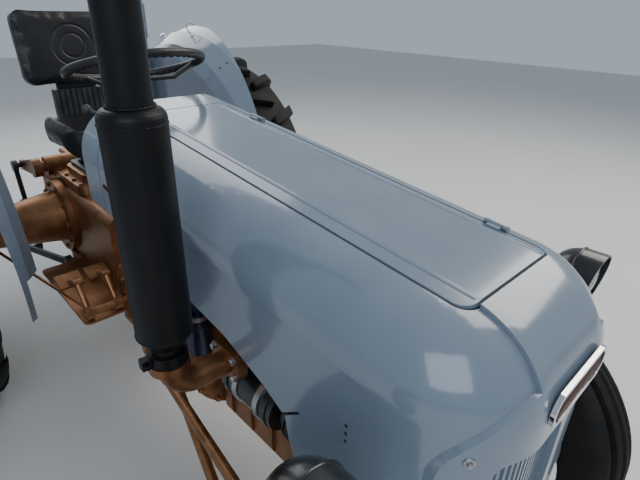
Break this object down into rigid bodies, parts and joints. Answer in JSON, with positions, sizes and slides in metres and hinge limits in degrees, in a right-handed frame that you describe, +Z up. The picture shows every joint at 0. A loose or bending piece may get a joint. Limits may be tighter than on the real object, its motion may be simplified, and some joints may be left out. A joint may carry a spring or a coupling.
{
  "type": "small vintage farm tractor",
  "caption": "Small 1950s farm tractor with tilting bonnet, open engine, lugged rear tyres, side exhaust, seat, roll bar and rear lift links.",
  "frame": {"origin": "Ground level under the middle of the overall length and width.", "axes": "+X forward along the tractor, +Y to its left, +Z up."},
  "size_m": [2.9908, 1.697, 1.98],
  "materials": {
    "bronze_paint": "bronze metallic enamel over cast iron",
    "grey_paint": "glossy mid grey enamel",
    "black_paint": "satin black enamel",
    "dark_steel": "dark painted steel",
    "blue_black": "dark blue metallic enamel",
    "bare_steel": "machined steel",
    "chrome_trim": "bright chrome",
    "black_plastic": "moulded black plastic",
    "black_vinyl": "black moulded seat covering",
    "rubber": "black rubber"
  },
  "bodies": {
    "chassis": {"gearbox_housing": "bronze_paint", "engine_block": "bronze_paint", "sump": "bronze_paint", "front_axle_support": "bronze_paint", "front_axle_beam": "bronze_paint", "radius_rods": "bronze_paint", "rear_axle_housing": "bronze_paint", "brake_drums": "bronze_paint", "hydraulic_cover": "bronze_paint", "radiator": "black_paint", "fan": "black_paint", "dynamo": "black_paint", "exhaust_manifold": "bronze_paint", "exhaust_stack": "black_paint", "oil_filter": "blue_black", "starter_motor": "black_paint", "air_cleaner": "black_paint", "fuel_tank": "dark_steel", "battery": "dark_steel", "dash_cowl": "grey_paint", "steering_column": "bare_steel", "control_levers": "dark_steel", "seat_support": "dark_steel", "seat_pan": "black_vinyl", "seat_back": "black_vinyl", "fenders": "grey_paint", "foot_steps": "bronze_paint", "pedals": "bronze_paint", "side_valances": "grey_paint", "lamp_brackets": "black_paint", "headlamps": "black_paint", "drawbar": "dark_steel", "pto_shaft": "bare_steel", "roll_bar": "grey_paint", "rear_lamp": "chrome_trim"},
    "rear_wheel_left": {"rear_tyre_left": "rubber", "rear_rim_left": "grey_paint"},
    "rear_wheel_right": {"rear_tyre_right": "rubber", "rear_rim_right": "grey_paint"},
    "steering_knuckle_left": {"knuckle_left": "bronze_paint"},
    "steering_knuckle_right": {"knuckle_right": "bronze_paint"},
    "front_wheel_left": {"front_rim_left": "grey_paint", "front_tyre_left": "rubber"},
    "front_wheel_right": {"front_rim_right": "grey_paint", "front_tyre_right": "rubber"},
    "steering_arm_left": {"drop_arm_left": "bronze_paint"},
    "steering_arm_right": {"drop_arm_right": "bronze_paint"},
    "steering_link_left": {"drag_link_left": "bronze_paint"},
    "steering_link_right": {"drag_link_right": "bronze_paint"},
    "steering_hand_wheel": {"steering_wheel": "black_plastic"},
    "bonnet": {"hood_shell": "grey_paint", "nose_mask": "grey_paint", "nose_badge": "chrome_trim"},
    "bonnet_lid": {"hood_lid": "grey_paint"},
    "lifting_arms": {"lift_arms": "bronze_paint"},
    "lifting_rods": {"lift_rods": "dark_steel"},
    "lifting_links": {"lower_links": "dark_steel"}
  },
  "joints": [
    {"name": "rear_wheel_spin_left", "type": "hinge", "parent": "chassis", "child": "rear_wheel_left", "pos_m": [-0.71542, 0.711, 0.645], "axis": [0, 1, 0], "continuous": true},
    {"name": "rear_wheel_spin_right", "type": "hinge", "parent": "chassis", "child": "rear_wheel_right", "pos_m": [-0.71542, -0.711, 0.645], "axis": [0, 1, 0], "continuous": true},
    {"name": "steer_left", "type": "hinge", "parent": "chassis", "child": "steering_knuckle_left", "pos_m": [1.11358, 0.505, 0.45], "axis": [0, 0, 1], "range_deg": [-11, 45]},
    {"name": "steer_right", "type": "hinge", "parent": "chassis", "child": "steering_knuckle_right", "pos_m": [1.11358, -0.505, 0.45], "axis": [0, 0, 1], "range_deg": [-11.5, 45.5]},
    {"name": "front_wheel_spin_left", "type": "hinge", "parent": "steering_knuckle_left", "child": "front_wheel_left", "pos_m": [1.14413, 0.60493, 0.36], "axis": [0.2924, 0.9563, 0], "continuous": true},
    {"name": "front_wheel_spin_right", "type": "hinge", "parent": "steering_knuckle_right", "child": "front_wheel_right", "pos_m": [1.08303, -0.60493, 0.36], "axis": [0.2924, 0.9563, 0], "continuous": true},
    {"name": "steering_wheel_turn", "type": "hinge", "parent": "chassis", "child": "steering_hand_wheel", "pos_m": [-0.08442, 0, 1.335], "axis": [-0.2706, 0, 0.9627], "range_deg": [-132.5, 540.5]},
    {"name": "drop_arm_swing_left", "type": "hinge", "parent": "chassis", "child": "steering_arm_left", "pos_m": [0.24958, 0.222, 0.712], "axis": [0, 1, 0], "range_deg": [-33.66, 8.61]},
    {"name": "drop_arm_swing_right", "type": "hinge", "parent": "chassis", "child": "steering_arm_right", "pos_m": [0.24958, -0.222, 0.712], "axis": [0, 1, 0], "range_deg": [-8.61, 33.66]},
    {"name": "drag_link_turn_left", "type": "hinge", "parent": "steering_arm_left", "child": "steering_link_left", "pos_m": [0.20837, 0.256, 0.52652], "axis": [0, 1, 0], "range_deg": [-8.61, 33.66]},
    {"name": "drag_link_turn_right", "type": "hinge", "parent": "steering_arm_right", "child": "steering_link_right", "pos_m": [0.29079, -0.256, 0.52652], "axis": [0, 1, 0], "range_deg": [-33.66, 8.61]},
    {"name": "bonnet_tilt", "type": "hinge", "parent": "chassis", "child": "bonnet", "pos_m": [1.31458, 0, 0.59], "axis": [0, 1, 0], "range_deg": [0, 80]},
    {"name": "lid_swing", "type": "hinge", "parent": "bonnet", "child": "bonnet_lid", "pos_m": [0.76758, 0.145, 1.18611], "axis": [-0.9945, 0, 0.1045], "range_deg": [0, 95]},
    {"name": "lift_arm_swing", "type": "hinge", "parent": "chassis", "child": "lifting_arms", "pos_m": [-0.81042, 0, 0.85], "axis": [0, 1, 0], "range_deg": [0, 45]},
    {"name": "lift_rod_turn", "type": "hinge", "parent": "lifting_arms", "child": "lifting_rods", "pos_m": [-1.06155, 0, 0.80572], "axis": [0, 1, 0], "range_deg": [-44, 1]},
    {"name": "lower_link_swing", "type": "hinge", "parent": "chassis", "child": "lifting_links", "pos_m": [-0.64042, 0, 0.44], "axis": [0, 1, 0], "range_deg": [-1, 31]}
  ],
  "couplings": [
    {"joint": "steer_right", "follows": "steer_left", "ratio": 1},
    {"joint": "steering_wheel_turn", "follows": "steer_left", "ratio": 12},
    {"joint": "drop_arm_swing_left", "follows": "steer_left", "ratio": -0.7368},
    {"joint": "drop_arm_swing_right", "follows": "steer_left", "ratio": 0.7368},
    {"joint": "drag_link_turn_left", "follows": "steer_left", "ratio": 0.7368},
    {"joint": "drag_link_turn_right", "follows": "steer_left", "ratio": -0.7368},
    {"joint": "lift_rod_turn", "follows": "lift_arm_swing", "ratio": -0.958},
    {"joint": "lower_link_swing", "follows": "lift_arm_swing", "ratio": 0.647}
  ]
}
